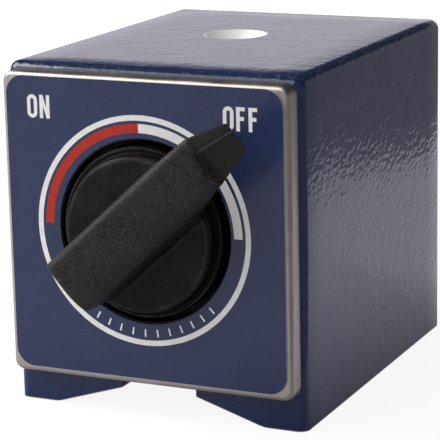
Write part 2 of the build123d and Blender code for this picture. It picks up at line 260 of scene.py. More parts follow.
def makeHammeredPaint():
    p = hammeredPaint
    material, tree, shader = newMaterial("hammered_blue_paint")
    vector = objectCoordinates(tree)
    x, y, z = splitVector(tree, vector)
    dimples = addDimples(tree, objectCoordinates(tree, (1, 1, p["dimpleStretch"])), p["dimpleScale"])
    swell = addNoise(tree, vector, p["swellScale"], 1.0, 0.4)
    grain = addNoise(tree, vector, p["grainScale"], 2.0)
    blend = addRange(tree, dimples, 0.05, 0.45, 0, 1)
    colour = addMix(tree, blend, p["deepBlue"], p["blue"])
    specks = addSpecks(tree, vector, p["speckScale"], p["speckSize"], p["speckShare"])
    colour = addMix(tree, specks, colour, p["speckColour"])
    # painted light along the upper edges: a darker blue band is painted shade, and pale specks are painted
    # highlights where many small bumps would catch the light
    sideways = addMath(tree, "ABSOLUTE", x)
    fromSide = addMath(tree, "SUBTRACT", bodyHigh[0], sideways)
    fromFront = addMath(tree, "SUBTRACT", y, bodyLow[1])
    fromRear = addMath(tree, "SUBTRACT", bodyHigh[1], y)
    fromTop = addMath(tree, "SUBTRACT", bodyHigh[2], z)
    fromEdge = addMath(tree, "MINIMUM", addMath(tree, "MINIMUM", fromSide, fromFront), fromRear)
    onEdge = addMath(tree, "MAXIMUM", fromEdge, fromTop)
    onEdge = addRange(tree, onEdge, 0.5 * p["edgeReach"], p["edgeReach"], 1, 0)
    colour = addMix(tree, onEdge, colour, p["paintedEdgeShade"])
    glints = addSpecks(tree, vector, p["edgeGlintScale"], p["edgeGlintSize"], p["edgeGlintShare"])
    colour = addMix(tree, addMath(tree, "MULTIPLY", glints, onEdge), colour, p["paintedEdgeGlints"])
    # bare metal in the column hole, under the feet and in the groove
    away = addRadius(tree, addMath(tree, "SUBTRACT", x, holeX), addMath(tree, "SUBTRACT", y, holeY))
    besideHole = addSteps(tree, away, p["bareHoleRadius"], p["bareEdge"])
    belowHole = addSteps(tree, z, bodyHigh[2] - p["bareHoleDepth"], p["bareEdge"], True)
    outsideHole = addMath(tree, "MAXIMUM", besideHole, belowHole)
    slope = addRange(tree, sideways, p["grooveSlot"], p["grooveFoot"], p["grooveRise"], 0)
    aboveGround = addSteps(tree, addMath(tree, "SUBTRACT", z, slope), p["groundBelow"], p["groundEdge"])
    painted = addMath(tree, "MULTIPLY", outsideHole, aboveGround)
    bare = addMath(tree, "SUBTRACT", 1.0, painted)
    lathe = addNoise(tree, objectCoordinates(tree, (1, 1, p["latheStretch"])), p["latheScale"], 3.0)
    metal = mottle(tree, lathe, p["dullSteel"], p["groundSteel"])
    # painted sheen: in the hole, above the axis, the steel is near white and little metallic, so it renders bright
    # like a reflection; ground steel below it
    inHole = addSteps(tree, z, axisZ, p["metalChange"])
    metal = addMix(tree, inHole, metal, p["holeSheenWhite"])
    shine = addMixValue(tree, inHole, p["groundMetallic"], p["holeMetallic"])
    tree.links.new(addMix(tree, bare, colour, metal), shader.inputs["Base Color"])
    tree.links.new(addMath(tree, "MULTIPLY", bare, shine), shader.inputs["Metallic"])
    glaze = addRange(tree, grain, 0.3, 0.7, p["roughness"] - 0.03, p["roughness"] + 0.04)
    rough = addMath(tree, "ADD", glaze, addMath(tree, "MULTIPLY", bare, p["bareRoughness"]))
    tree.links.new(rough, shader.inputs["Roughness"])
    # each face falls away a little towards its edges
    crown = 0.0
    for distance in (fromSide, fromFront, fromRear, fromTop):
        fall = addMath(tree, "POWER", addRange(tree, distance, 0, p["crownReach"], 1, 0), 2.0)
        crown = addMath(tree, "SUBTRACT", crown, fall)
    under = addBump(tree, shader, crown, p["crownDrop"])
    # the paint lies flatter on top
    lying = addRange(tree, z, bodyHigh[2] - p["flatFrom"], bodyHigh[2] - p["flatTo"], 1.0, p["topDimples"])
    depth = addMath(tree, "MULTIPLY", painted, lying)
    first = addBump(tree, shader, addMath(tree, "MULTIPLY", dimples, depth), p["dimpleHeight"], 1.0, under)
    second = addBump(tree, shader, swell, p["swellHeight"], 1.0, first)
    addBump(tree, shader, grain, p["grainHeight"], 1.0, second)
    return material


plateSteel = {
    "warm": (0.42, 0.385, 0.350, 1),
    "cool": (0.53, 0.490, 0.450, 1),
    # painted shade round the knob's hole
    "holeEdge": (0.03, 0.028, 0.027, 1),
    "holeEdgeRadius": 15.0 * mm,
    "holeEdgeBlur": 0.2 * mm,
    "cloudScale": 260,
    "lineScale": 2600,
    "lineStretch": 6,
    "lineHeight": 0.006 * mm,
    "roughness": 0.40,
}


def makePlateSteel():
    p = plateSteel
    material, tree, shader = newMaterial("pressed_steel")
    vector = objectCoordinates(tree)
    cloud = addNoise(tree, vector, p["cloudScale"], 4.0, 0.6)
    fine = addNoise(tree, objectCoordinates(tree, (1, 1, p["lineStretch"])), p["lineScale"], 2.0)
    blend = addRange(tree, addMath(tree, "ADD", cloud, fine), 0.75, 1.25, 0, 1)
    colour = addMix(tree, blend, p["warm"], p["cool"])
    # painted shade: the plate goes nearly black round the knob's hole, where the gap is in shade
    away = addAxisDistance(tree, vector)
    colour = addMix(tree, addSteps(tree, away, p["holeEdgeRadius"], p["holeEdgeBlur"]), p["holeEdge"], colour)
    tree.links.new(colour, shader.inputs["Base Color"])
    shader.inputs["Metallic"].default_value = 1.0
    both = addMath(tree, "ADD", fine, cloud)
    rough = addRange(tree, both, 0.7, 1.3, p["roughness"] - 0.08, p["roughness"] + 0.10)
    tree.links.new(rough, shader.inputs["Roughness"])
    addBump(tree, shader, fine, p["lineHeight"])
    return material


turnedSteel = {
    "dull": (0.36, 0.35, 0.335, 1),
    "bright": (0.46, 0.45, 0.43, 1),
    "ringScale": 4200,
    "ringHeight": 0.008 * mm,
    "cloudScale": 220,
    "roughness": 0.34,
}


def makeTurnedSteel():
    # fine rings left by the lathe, round the rotor's axis
    p = turnedSteel
    material, tree, shader = newMaterial("turned_steel")
    vector = objectCoordinates(tree)
    place = tree.nodes.new("ShaderNodeCombineXYZ")
    tree.links.new(addAxisDistance(tree, vector), place.inputs["X"])
    tree.links.new(splitVector(tree, vector)[1], place.inputs["Y"])
    rings = addNoise(tree, place.outputs["Vector"], p["ringScale"], 3.0, 0.6)
    cloud = addNoise(tree, vector, p["cloudScale"], 3.0)
    shade = addRange(tree, addMath(tree, "ADD", rings, cloud), 0.8, 1.2, 0, 1)
    tree.links.new(addMix(tree, shade, p["dull"], p["bright"]), shader.inputs["Base Color"])
    shader.inputs["Metallic"].default_value = 1.0
    setRoughness(tree, shader, cloud, p["roughness"], 0.06, 0.08)
    addBump(tree, shader, rings, p["ringHeight"])
    return material


spacerBrass = {
    "brass": (0.62, 0.43, 0.16, 1),
    "dullBrass": (0.46, 0.31, 0.11, 1),
    "roughness": 0.32,
    "markScale": 1300,
    "markStretch": 0.15,
    "markHeight": 0.006 * mm,
    "paintedEnd": 0.15 * mm,
    "paintEdge": 0.1 * mm,
}


def makeSpacerBrass():
    # bare in the slot and painted with the body at its two ends
    p = spacerBrass
    material, tree, shader = newMaterial("spacer_brass")
    y = splitVector(tree, objectCoordinates(tree))[1]
    marks = addNoise(tree, objectCoordinates(tree, (1, p["markStretch"], 1)), p["markScale"], 3.0)
    metal = mottle(tree, marks, p["dullBrass"], p["brass"])
    behindFront = addSteps(tree, y, bodyLow[1] + p["paintedEnd"], p["paintEdge"])
    beforeRear = addSteps(tree, addMath(tree, "SUBTRACT", bodyHigh[1], y), p["paintedEnd"], p["paintEdge"])
    bare = addMath(tree, "MULTIPLY", behindFront, beforeRear)
    tree.links.new(addMix(tree, bare, hammeredPaint["blue"], metal), shader.inputs["Base Color"])
    tree.links.new(bare, shader.inputs["Metallic"])
    setRoughness(tree, shader, marks, p["roughness"], 0.1, 0.06)
    addBump(tree, shader, marks, p["markHeight"])
    return material


labelBlue = {
    "blue": (0.0165, 0.0265, 0.080, 1),
    "paleBlue": (0.0195, 0.0305, 0.088, 1),
    "edge": (0.50, 0.50, 0.48, 1),
    "holeEdge": 15.0 * mm,
    "holeEdgeBlur": 0.2 * mm,
    "cloudScale": 140,
    "specular": 0.40,
    "roughness": 0.26,
    "rippleScale": 75,
    "rippleHeight": 0.05 * mm,
    "filmScale": 900,
    "filmHeight": 0.004 * mm,
}


def makeLabelBlue():
    p = labelBlue
    material, tree, shader = newMaterial("printed_blue")
    vector = objectCoordinates(tree)
    cloud = addNoise(tree, vector, p["cloudScale"], 3.0)
    ripple = addNoise(tree, vector, p["rippleScale"], 0.0)
    film = addNoise(tree, vector, p["filmScale"], 2.0)
    colour = mottle(tree, cloud, p["blue"], p["paleBlue"])
    # the cut edge shows the white film, but not round the knob
    geometry = tree.nodes.new("ShaderNodeNewGeometry")
    facing = splitVector(tree, geometry.outputs["Normal"])[1]
    edge = addRange(tree, facing, -0.7, -0.5, 0, 1)
    away = addAxisDistance(tree, vector)
    edge = addMath(tree, "MULTIPLY", edge, addSteps(tree, away, p["holeEdge"], p["holeEdgeBlur"]))
    tree.links.new(addMix(tree, edge, colour, p["edge"]), shader.inputs["Base Color"])
    setRoughness(tree, shader, film, p["roughness"], 0.03, 0.04)
    shader.inputs["Specular IOR Level"].default_value = p["specular"]
    first = addBump(tree, shader, ripple, p["rippleHeight"])
    addBump(tree, shader, film, p["filmHeight"], 1.0, first)
    return material


printInk = {
    "white": (0.83, 0.82, 0.82, 1),
    "red": (0.46, 0.026, 0.016, 1),
    "roughness": 0.38,
    "grainScale": 900,
    "grainHeight": 0.003 * mm,
}


def makeInk(name, colour, specular):
    p = printInk
    material, tree, shader = newMaterial(name)
    grain = addNoise(tree, objectCoordinates(tree), p["grainScale"], 3.0)
    tree.links.new(mottle(tree, grain, darken(colour, 0.9), colour), shader.inputs["Base Color"])
    setRoughness(tree, shader, grain, p["roughness"], 0.04, 0.04)
    shader.inputs["Specular IOR Level"].default_value = specular
    addBump(tree, shader, grain, p["grainHeight"])
    return material


knobSkin = {
    "voxel": 0.24 * mm,
    "smoothing": 4,
    "rootSmoothing": 10,
    "rootWeight": 1.5,
    "easeShare": 0.5,
    "mergeWithin": 0.002 * mm,
    "rootFrom": 20.6 * mm,
    "rootTo": 24.4 * mm,
    "crownDepth": 4.0 * mm,
    "litDrop": 0.30 * mm,
    "shadedDrop": 1.35 * mm,
    "halfWidth": 4.75 * mm,
    # distance along the handle and the depth of the nose's lower half there
    "facet": ((21.6 * mm, 0), (23.4 * mm, 1.85 * mm), (27.1 * mm, 5.0 * mm), (28.3 * mm, 6.0 * mm)),
    "noseFade": ((21.6 * mm, 0), (23.4 * mm, 1)),
    "facetTilt": 0.14,
    "ribTilt": 0.20,
    "ridge": ((22.6 * mm, 1.5 * mm), (28.3 * mm, 0.8 * mm)),
    "channel": ((22.6 * mm, 2.2 * mm), (28.3 * mm, 5.1 * mm)),
    "channelMargin": 0.4 * mm,
}

knobPlastic = {
    "dark": (0.0040, 0.0034, 0.0032, 1),
    "light": (0.0165, 0.0135, 0.0115, 1),
    "salt": (0.036, 0.031, 0.026, 1),
    # painted light: the nose's lighter colour
    "nose": (0.0240, 0.0222, 0.0205, 1),
    # painted highlight along the nose's ridge
    "ridgeHighlight": (0.085, 0.085, 0.082, 1),
    "saltScale": 4200,
    "saltShare": (0.52, 0.70),
    "specular": 0.24,
    "discSpecular": 0.13,
    "roughness": 0.46,
    "cloudScale": 260,
    "grainScale": 1900,
    "grainHeight": 0.075 * mm,
    "handleAngle": 42,
    "noseStart": 22.6 * mm,
    "noseEdge": 0.8 * mm,
    "handleBehind": 8.0 * mm,
    "handleEdge": 1.0 * mm,
    "discPlain": 0.75,
    "plainGrain": 0.2,
    "flangeBehind": 12.4 * mm,
    "flangeBlur": 0.6 * mm,
    "flangeShare": 0.35,
    "discEdge": 11.65 * mm,
    "flangeEdge": 13.15 * mm,
    # painted highlights round the disc and flange edges
    "edgeHighlight": (0.055, 0.052, 0.050, 1),
    # where a pale line starts to fade and where it ends, from its middle
    "ridgeWidth": (0.06 * mm, 0.20 * mm),
    "edgeWidth": (0.03 * mm, 0.13 * mm),
}


def makeKnobPlastic():
    p = knobPlastic
    material, tree, shader = newMaterial("black_grained_plastic")
    vector = objectCoordinates(tree)
    grain = addNoise(tree, vector, p["grainScale"], 3.0, 0.6)
    cloud = addNoise(tree, vector, p["cloudScale"], 2.0)
    salt = addNoise(tree, vector, p["saltScale"], 1.0)
    blend = addRange(tree, addMath(tree, "ADD", grain, cloud), 0.8, 1.2, 0, 1)
    colour = addMix(tree, blend, p["dark"], p["light"])
    # the grain is coarse on the handle, finer on the disc, and stops at the nose
    x, y, z = splitVector(tree, vector)
    rise = addMath(tree, "SUBTRACT", z, axisZ)
    turn = math.radians(p["handleAngle"])
    cosine, sine = math.cos(turn), math.sin(turn)
    along = addMath(tree, "ADD", addMath(tree, "MULTIPLY", x, cosine), addMath(tree, "MULTIPLY", rise, sine))
    across = addMath(tree, "SUBTRACT", addMath(tree, "MULTIPLY", rise, cosine), addMath(tree, "MULTIPLY", x, sine))
    onNose = addSteps(tree, along, p["noseStart"], p["noseEdge"])
    onDisc = addSteps(tree, y, knobFront + p["handleBehind"], p["handleEdge"])
    plain = addMath(tree, "MAXIMUM", onNose, addMath(tree, "MULTIPLY", onDisc, p["discPlain"]))
    grained = addRange(tree, plain, 0, 1, 1.0, p["plainGrain"])
    dots = addMath(tree, "MULTIPLY", addRange(tree, salt, *p["saltShare"], 0, 1), grained)
    colour = addMix(tree, dots, colour, p["salt"])
    # painted light: the nose is coloured lighter than the rest of the handle, as if its facets caught more light
    colour = addMix(tree, onNose, colour, p["nose"])
    # painted highlight: a pale line along the ridge of the nose
    (nearAt, nearSide), (farAt, farSide) = knobSkin["ridge"]
    crest = addRange(tree, along, nearAt, farAt, nearSide, farSide)
    offCrest = addMath(tree, "ABSOLUTE", addMath(tree, "SUBTRACT", across, crest))
    paintedHighlight = addMath(tree, "MULTIPLY", addRange(tree, offCrest, *p["ridgeWidth"], 0.8, 0), onNose)
    colour = addMix(tree, paintedHighlight, colour, p["ridgeHighlight"])
    # painted shade: the flange sunk behind the disc is coloured the darkest
    onFlange = addSteps(tree, y, knobFront + p["flangeBehind"], p["flangeBlur"])
    colour = addMix(tree, onFlange, colour, p["dark"])
    # painted highlights: thinner pale lines round the edges of the disc and the flange
    away = addRadius(tree, x, rise)
    patchy = addRange(tree, cloud, 0.4, 0.6, 0.2, 1)
    discOnly = addMath(tree, "SUBTRACT", onDisc, onFlange)
    for radius, part in ((p["discEdge"], discOnly), (p["flangeEdge"], onFlange)):
        offEdge = addMath(tree, "ABSOLUTE", addMath(tree, "SUBTRACT", away, radius))
        paintedHighlight = addMath(tree, "MULTIPLY", addRange(tree, offEdge, *p["edgeWidth"], 0.75, 0), part)
        colour = addMix(tree, addMath(tree, "MULTIPLY", paintedHighlight, patchy), colour, p["edgeHighlight"])
    tree.links.new(colour, shader.inputs["Base Color"])
    setRoughness(tree, shader, grain, p["roughness"], 0.08, 0.1)
    gloss = addMixValue(tree, onDisc, p["specular"], p["discSpecular"])
    gloss = addMath(tree, "MULTIPLY", gloss, addMixValue(tree, onFlange, 1.0, p["flangeShare"]))
    tree.links.new(gloss, shader.inputs["Specular IOR Level"])
    addBump(tree, shader, addMath(tree, "MULTIPLY", grain, grained), p["grainHeight"])
    return material


def makeMetal(name, colour, roughness, scale, stretch=(1, 1, 1), depth=0.008 * mm):
    material, tree, shader = newMaterial(name)
    marks = addNoise(tree, objectCoordinates(tree, stretch), scale, 3.0)
    tree.links.new(mottle(tree, marks, darken(colour, 0.8), colour), shader.inputs["Base Color"])
    shader.inputs["Metallic"].default_value = 1.0
    setRoughness(tree, shader, marks, roughness, 0.06, 0.08)
    addBump(tree, shader, marks, depth)
    return material


paint = makeHammeredPaint()
steel = makePlateSteel()
lathed = makeTurnedSteel()
spacer = makeSpacerBrass()
labelInk = makeLabelBlue()
whiteInk = makeInk("white_ink", printInk["white"], specular=0.4)
redInk = makeInk("red_ink", printInk["red"], specular=0.25)
plastic = makeKnobPlastic()
brightSteel = makeMetal("machined_steel", (0.72, 0.71, 0.69, 1), roughness=0.22, scale=1500, stretch=(1, 1, 6))
zinc = makeMetal("zinc_plated_steel", (0.60, 0.60, 0.58, 1), roughness=0.3, scale=1200)
blackSteel = makeMetal("blackened_steel", (0.02, 0.02, 0.021, 1), roughness=0.5, scale=1200)
brass = makeMetal("brass", spacerBrass["brass"], roughness=0.32, scale=1300, stretch=(1, 0.2, 1))
ferrite = makeMetal("ferrite", (0.05, 0.05, 0.055, 1), roughness=0.6, scale=900)
print("materials made")

nodeMaterials = {
    paint: ("left_pole_block", "right_pole_block", "top_spacer"),
    steel: ("front_plate",),
    lathed: ("rear_cover",),
    spacer: ("bottom_spacer",),
    labelInk: ("face_label",),
    plastic: ("knob",),
    zinc: ("front_plate_screws", "rear_cover_screws", "stop_pin", "knob_screws", "drive_spindle",
           "rotor_front_screws", "rotor_rear_screws", "rotor_pole_upper", "rotor_pole_lower", "disc_spring"),
    blackSteel: ("index_plate",),
    brass: ("rotor_front_cap", "rotor_rear_cap"),
    ferrite: ("rotor_magnet_front", "rotor_magnet_rear"),
}
for material, names in nodeMaterials.items():
    for name in names:
        for slot in nodes[name].material_slots:
            slot.material = material

# Dial print

dialPrint = {
    "centre": (-0.3 * mm, 30.3 * mm),
    "thickness": 0.03 * mm,
    "ringOuter": 18.1 * mm,
    "ringInner": 17.25 * mm,
    "bandOuter": 16.75 * mm,
    "bandInner": 15.35 * mm,
    "bandGap": 0.6,
    "bandSplit": 90.8,
    "ringSteps": 160,
    "bandSteps": 48,
    "letterHeight": 3.65 * mm,
    "letterWidth": 1.75 * mm,
    "letterStroke": 0.58 * mm,
    "letterGap": 0.42 * mm,
    "letterSteps": 32,
    "slantOfN": 0.44,
    "barOfF": 0.44,
    "widthOfF": 0.8,
    "armOfF": 0.9,
    "lastStep": 1.92,
    "onPlace": (-19.6 * mm, 46.95 * mm),
    "offPlace": (13.6 * mm, 46.95 * mm),
}


def startPiece(name, mesh):
    piece = bpy.data.objects.new(name, mesh)
    bpy.context.scene.collection.objects.link(piece)
    return piece


def addPiece(name, mesh, material, body):
    piece = startPiece(name, mesh)
    mesh.materials.clear()
    mesh.materials.append(material)
    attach(piece, body)


def arcPoints(radius, startDegrees, endDegrees, steps):
    cx, cz = dialPrint["centre"]
    turn = [math.radians(startDegrees + (endDegrees - startDegrees) * i / steps) for i in range(steps + 1)]
    return [(cx + radius * math.cos(t), cz + radius * math.sin(t)) for t in turn]


def joinSection(bm, around, i, j):
    # one step of a closed section, from its corners at i to those at j
    for a, b in zip(around, around[1:] + around[:1]):
        bm.faces.new((a[i], a[j], b[j], b[i]))


def printedBand(bm, inner, outer, startDegrees, endDegrees, steps, closed=False):
    # a flat ring or arc of ink with its edges
    front = labelFront - dialPrint["thickness"]
    rings = []
    for radius in (inner, outer):
        for y in (labelFront, front):
            points = arcPoints(radius, startDegrees, endDegrees, steps)
            if closed:
                points = points[:-1]
            rings.append([bm.verts.new((x, y, z)) for x, z in points])
    innerBack, innerFront, outerBack, outerFront = rings
    around = (innerFront, outerFront, outerBack, innerBack)
    count = len(innerFront)
    for i in range(count if closed else count - 1):
        joinSection(bm, around, i, (i + 1) % count)
    if not closed:
        for i in (0, count - 1):
            bm.faces.new([loop[i] for loop in around])


def printedOutline(bm, points, back=labelFront):
    # a flat letter or mark of ink from its outline
    front = back - dialPrint["thickness"]
    backs = [bm.verts.new((x, back, z)) for x, z in points]
    fronts = [bm.verts.new((x, front, z)) for x, z in points]
    bm.faces.new(fronts)
    bm.faces.new(backs)
    for i in range(len(points)):
        j = (i + 1) % len(points)
        bm.faces.new((backs[i], backs[j], fronts[j], fronts[i]))


def finishMesh(bm, name):
    bmesh.ops.remove_doubles(bm, verts=bm.verts, dist=1e-7)
    bmesh.ops.recalc_face_normals(bm, faces=bm.faces)
    mesh = bpy.data.meshes.new(name)
    bm.to_mesh(mesh)
    bm.free()
    return mesh


def letterN(x, z):
    w, h, s = (dialPrint[k] for k in ("letterWidth", "letterHeight", "letterStroke"))
    d = dialPrint["slantOfN"] * h
    outline = [(0, 0), (s, 0), (s, h - d), (w - s, 0), (w, 0), (w, h), (w - s, h), (w - s, d), (s, h), (0, h)]
    return [(x + u, z + v) for u, v in outline]


def letterF(x, z):
    w, h, s = (dialPrint[k] for k in ("letterWidth", "letterHeight", "letterStroke"))
    m = dialPrint["barOfF"] * h
    w = dialPrint["widthOfF"] * w
    arm = dialPrint["armOfF"] * w
    outline = [(0, 0), (s, 0), (s, m), (arm, m), (arm, m + s), (s, m + s), (s, h - s), (w, h - s), (w, h), (0, h)]
    return [(x + u, z + v) for u, v in outline]


def letterO(bm, x, z):
    # two rounded outlines bridged by ink
    w, h, s = (dialPrint[k] for k in ("letterWidth", "letterHeight", "letterStroke"))
    front = labelFront - dialPrint["thickness"]
    steps = dialPrint["letterSteps"]
    loops = []
    for inset in (0, s):
        radius = w / 2 - inset
        straight = h / 2 - w / 2
        for y in (labelFront, front):
            loop = []
            for i in range(steps):
                turn = 2 * math.pi * (i + 0.5) / steps
                lift = straight if math.sin(turn) > 0 else -straight
                across = x + w / 2 + radius * math.cos(turn)
                up = z + h / 2 + lift + radius * math.sin(turn)
                loop.append(bm.verts.new((across, y, up)))
            loops.append(loop)
    outerBack, outerFront, innerBack, innerFront = loops
    for i in range(steps):
        joinSection(bm, (innerFront, outerFront, outerBack, innerBack), i, (i + 1) % steps)


def runNodes(piece, tree, values):
    # give the tree its sizes, then keep its result as a plain mesh
    modifier = piece.modifiers.new(tree.name, "NODES")
    modifier.node_group = tree
    sockets = {item.name: item.identifier for item in tree.interface.items_tree if item.in_out == "INPUT"}
    for name, value in values.items():
        modifier[sockets[name]] = value
    bakeMesh(piece)


def bakeMesh(piece):
    graph = bpy.context.evaluated_depsgraph_get()
    mesh = bpy.data.meshes.new_from_object(piece.evaluated_get(graph), depsgraph=graph)
    piece.modifiers.clear()
    old = piece.data
    piece.data = mesh
    bpy.data.meshes.remove(old)
    return mesh


def newTree(name, sizes):
    tree = bpy.data.node_groups.new(name, "GeometryNodeTree")
    face = tree.interface
    face.new_socket("Geometry", in_out="INPUT", socket_type="NodeSocketGeometry")
    for size, kind in sizes.items():
        face.new_socket(size, in_out="INPUT", socket_type="NodeSocket" + kind)
    face.new_socket("Geometry", in_out="OUTPUT", socket_type="NodeSocketGeometry")
    return tree, tree.nodes.new("NodeGroupInput"), tree.nodes.new("NodeGroupOutput")


def endTree(tree, geometry, material, out):
    realize = tree.nodes.new("GeometryNodeRealizeInstances")
    tree.links.new(geometry, realize.inputs["Geometry"])
    finish = tree.nodes.new("GeometryNodeSetMaterial")
    tree.links.new(realize.outputs["Geometry"], finish.inputs["Geometry"])
    finish.inputs["Material"].default_value = material
    tree.links.new(finish.outputs["Geometry"], out.inputs["Geometry"])


def ringTree(name, material):
    # copies of the piece's own mesh, set round the y axis and turned with it
    tree, given, out = newTree(name, {
        "Count": "Int",
        "Radius": "Float",
        "First angle": "Float",
        "Step": "Float",
        "Middle": "Vector",
    })
    line = tree.nodes.new("GeometryNodeMeshLine")
    line.inputs["Offset"].default_value = (0, 0, 0)
    tree.links.new(given.outputs["Count"], line.inputs["Count"])
    index = tree.nodes.new("GeometryNodeInputIndex")
    turned = addMath(tree, "MULTIPLY", index.outputs["Index"], given.outputs["Step"])
    angle = addMath(tree, "ADD", turned, given.outputs["First angle"])
    across = addMath(tree, "MULTIPLY", addMath(tree, "COSINE", angle), given.outputs["Radius"])
    up = addMath(tree, "MULTIPLY", addMath(tree, "SINE", angle), given.outputs["Radius"])
    place = tree.nodes.new("ShaderNodeCombineXYZ")
    tree.links.new(across, place.inputs["X"])
    tree.links.new(up, place.inputs["Z"])
    moved = tree.nodes.new("ShaderNodeVectorMath")
    tree.links.new(place.outputs["Vector"], moved.inputs[0])
    tree.links.new(given.outputs["Middle"], moved.inputs[1])
    setPlace = tree.nodes.new("GeometryNodeSetPosition")
    tree.links.new(line.outputs["Mesh"], setPlace.inputs["Geometry"])
    tree.links.new(moved.outputs["Vector"], setPlace.inputs["Position"])
    turn = tree.nodes.new("ShaderNodeCombineXYZ")
    tree.links.new(addMath(tree, "MULTIPLY", angle, -1.0), turn.inputs["Y"])
    copies = tree.nodes.new("GeometryNodeInstanceOnPoints")
    tree.links.new(setPlace.outputs["Geometry"], copies.inputs["Points"])
    tree.links.new(given.outputs["Geometry"], copies.inputs["Instance"])
    tree.links.new(turn.outputs["Vector"], copies.inputs["Rotation"])
    endTree(tree, copies.outputs["Instances"], material, out)
    return tree


def smoothFaces(mesh):
    mesh.polygons.foreach_set("use_smooth", [True] * len(mesh.polygons))
    mesh.update()


dialTicks = {
    "count": 13,
    "firstAngle": 225,
    "lastAngle": 315,
    "inner": 15.5 * mm,
    "outer": 16.7 * mm,
    "width": 0.26 * mm,
}


def makeDialTicks():
    # plain marks between the ring and the knob
    p = dialTicks
    half = (p["outer"] - p["inner"]) / 2
    bm = bmesh.new()
    corners = [(-half, -p["width"] / 2), (half, -p["width"] / 2), (half, p["width"] / 2), (-half, p["width"] / 2)]
    printedOutline(bm, corners, back=0)
    piece = startPiece("dial_ticks", finishMesh(bm, "dial_ticks"))
    step = (p["lastAngle"] - p["firstAngle"]) / (p["count"] - 1)
    cx, cz = dialPrint["centre"]
    runNodes(piece, ringTree("ticksRound", whiteInk), {
        "Count": p["count"],
        "Radius": (p["inner"] + p["outer"]) / 2,
        "First angle": math.radians(p["firstAngle"]),
        "Step": math.radians(step),
        "Middle": (cx, labelFront, cz),
    })
    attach(piece, "base")


coverScrews = {
    "headRadius": 2.28 * mm,
    "shankRadius": 1.25 * mm,
    "length": 7.0 * mm,
    "rimBreak": 0.12 * mm,
    "socketRadius": 1.05 * mm,
    "socketDepth": 1.2 * mm,
    "socketBreak": 0.10 * mm,
    "socketPoint": 0.25 * mm,
    "seatGap": 0.2 * mm,
    "faceRing": 0.25 * mm,
    "steps": 48,
    "count": 3,
    "firstAngle": 90,
    "circle": 17.9 * mm,
}


def joinRings(bm, rings):
    # walls between each ring and the next
    steps = len(rings[0])
    for a, b in zip(rings, rings[1:]):
        for i in range(steps):
            j = (i + 1) % steps
            bm.faces.new((a[i], a[j], b[j], b[i]))


def latheLoops(bm, profile, steps):
    # rings of one profile round the y axis
    loops = []
    for radius, y in profile:
        loop = []
        for i in range(steps):
            turn = 2 * math.pi * i / steps
            loop.append(bm.verts.new((radius * math.cos(turn), y, radius * math.sin(turn))))
        loops.append(loop)
    joinRings(bm, loops)
    return loops


def makeCoverScrews():
    # countersunk socket screws, flush with the rear cover
    p = coverScrews
    steps = p["steps"]
    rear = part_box("rear_cover_screws")[1][1]
    neck = p["headRadius"] - p["shankRadius"]
    profile = [
        (p["shankRadius"], -p["length"]), (p["shankRadius"], -neck - p["seatGap"]),
        (p["headRadius"], -p["rimBreak"]), (p["headRadius"] - p["rimBreak"], 0),
        (p["socketRadius"] + p["faceRing"], 0), (p["socketRadius"] + p["socketBreak"], 0),
    ]
    bm = bmesh.new()
    loops = latheLoops(bm, profile, steps)
    bm.faces.new(loops[0])
    # the socket: round at its mouth and six-sided below
    rings = [loops[-1]]
    sixth = math.pi / 3
    for depth in (p["socketBreak"], p["socketDepth"]):
        ring = []
        for i in range(steps):
            turn = 2 * math.pi * i / steps
            reach = p["socketRadius"] * math.cos(sixth / 2) / math.cos((turn % sixth) - sixth / 2)
            ring.append(bm.verts.new((reach * math.cos(turn), -depth, reach * math.sin(turn))))
        rings.append(ring)
    joinRings(bm, rings)
    tip = bm.verts.new((0, -p["socketDepth"] - p["socketPoint"], 0))
    for i in range(steps):
        bm.faces.new((rings[-1][i], rings[-1][(i + 1) % steps], tip))
    piece = startPiece("cover_screws", finishMesh(bm, "cover_screws"))
    runNodes(piece, ringTree("screwsRound", zinc), {
        "Count": p["count"],
        "Radius": p["circle"],
        "First angle": math.radians(p["firstAngle"]),
        "Step": 2 * math.pi / p["count"],
        "Middle": (0, rear, axisZ),
    })
    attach(piece, "base")
    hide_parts("rear_cover_screws")


columnThread = {
    "pitch": 1.25 * mm,
    "radius": 3.50 * mm,
    "ridge": 0.40 * mm,
    "stepsPerTurn": 64,
}


def threadTree(material):
    # a square ridge swept along a spiral
    tree, given, out = newTree("threadRidge", {
        "Turns": "Float",
        "Radius": "Float",
        "Height": "Float",
        "Ridge": "Float",
        "Steps": "Int",
        "Place": "Vector",
    })
    spiral = tree.nodes.new("GeometryNodeCurveSpiral")
    tree.links.new(given.outputs["Turns"], spiral.inputs["Rotations"])
    tree.links.new(given.outputs["Radius"], spiral.inputs["Start Radius"])
    tree.links.new(given.outputs["Radius"], spiral.inputs["End Radius"])
    tree.links.new(given.outputs["Height"], spiral.inputs["Height"])
    tree.links.new(given.outputs["Steps"], spiral.inputs["Resolution"])
    upright = tree.nodes.new("GeometryNodeSetCurveNormal")
    upright.mode = "Z_UP"
    tree.links.new(spiral.outputs["Curve"], upright.inputs["Curve"])
    ridge = tree.nodes.new("GeometryNodeCurvePrimitiveCircle")
    ridge.inputs["Resolution"].default_value = 4
    tree.links.new(given.outputs["Ridge"], ridge.inputs["Radius"])
    sweep = tree.nodes.new("GeometryNodeCurveToMesh")
    tree.links.new(upright.outputs["Curve"], sweep.inputs["Curve"])
    tree.links.new(ridge.outputs["Curve"], sweep.inputs["Profile Curve"])
    sweep.inputs["Fill Caps"].default_value = True
    move = tree.nodes.new("GeometryNodeTransform")
    tree.links.new(sweep.outputs["Mesh"], move.inputs["Geometry"])
    tree.links.new(given.outputs["Place"], move.inputs["Translation"])
    endTree(tree, move.outputs["Geometry"], material, out)
    return tree


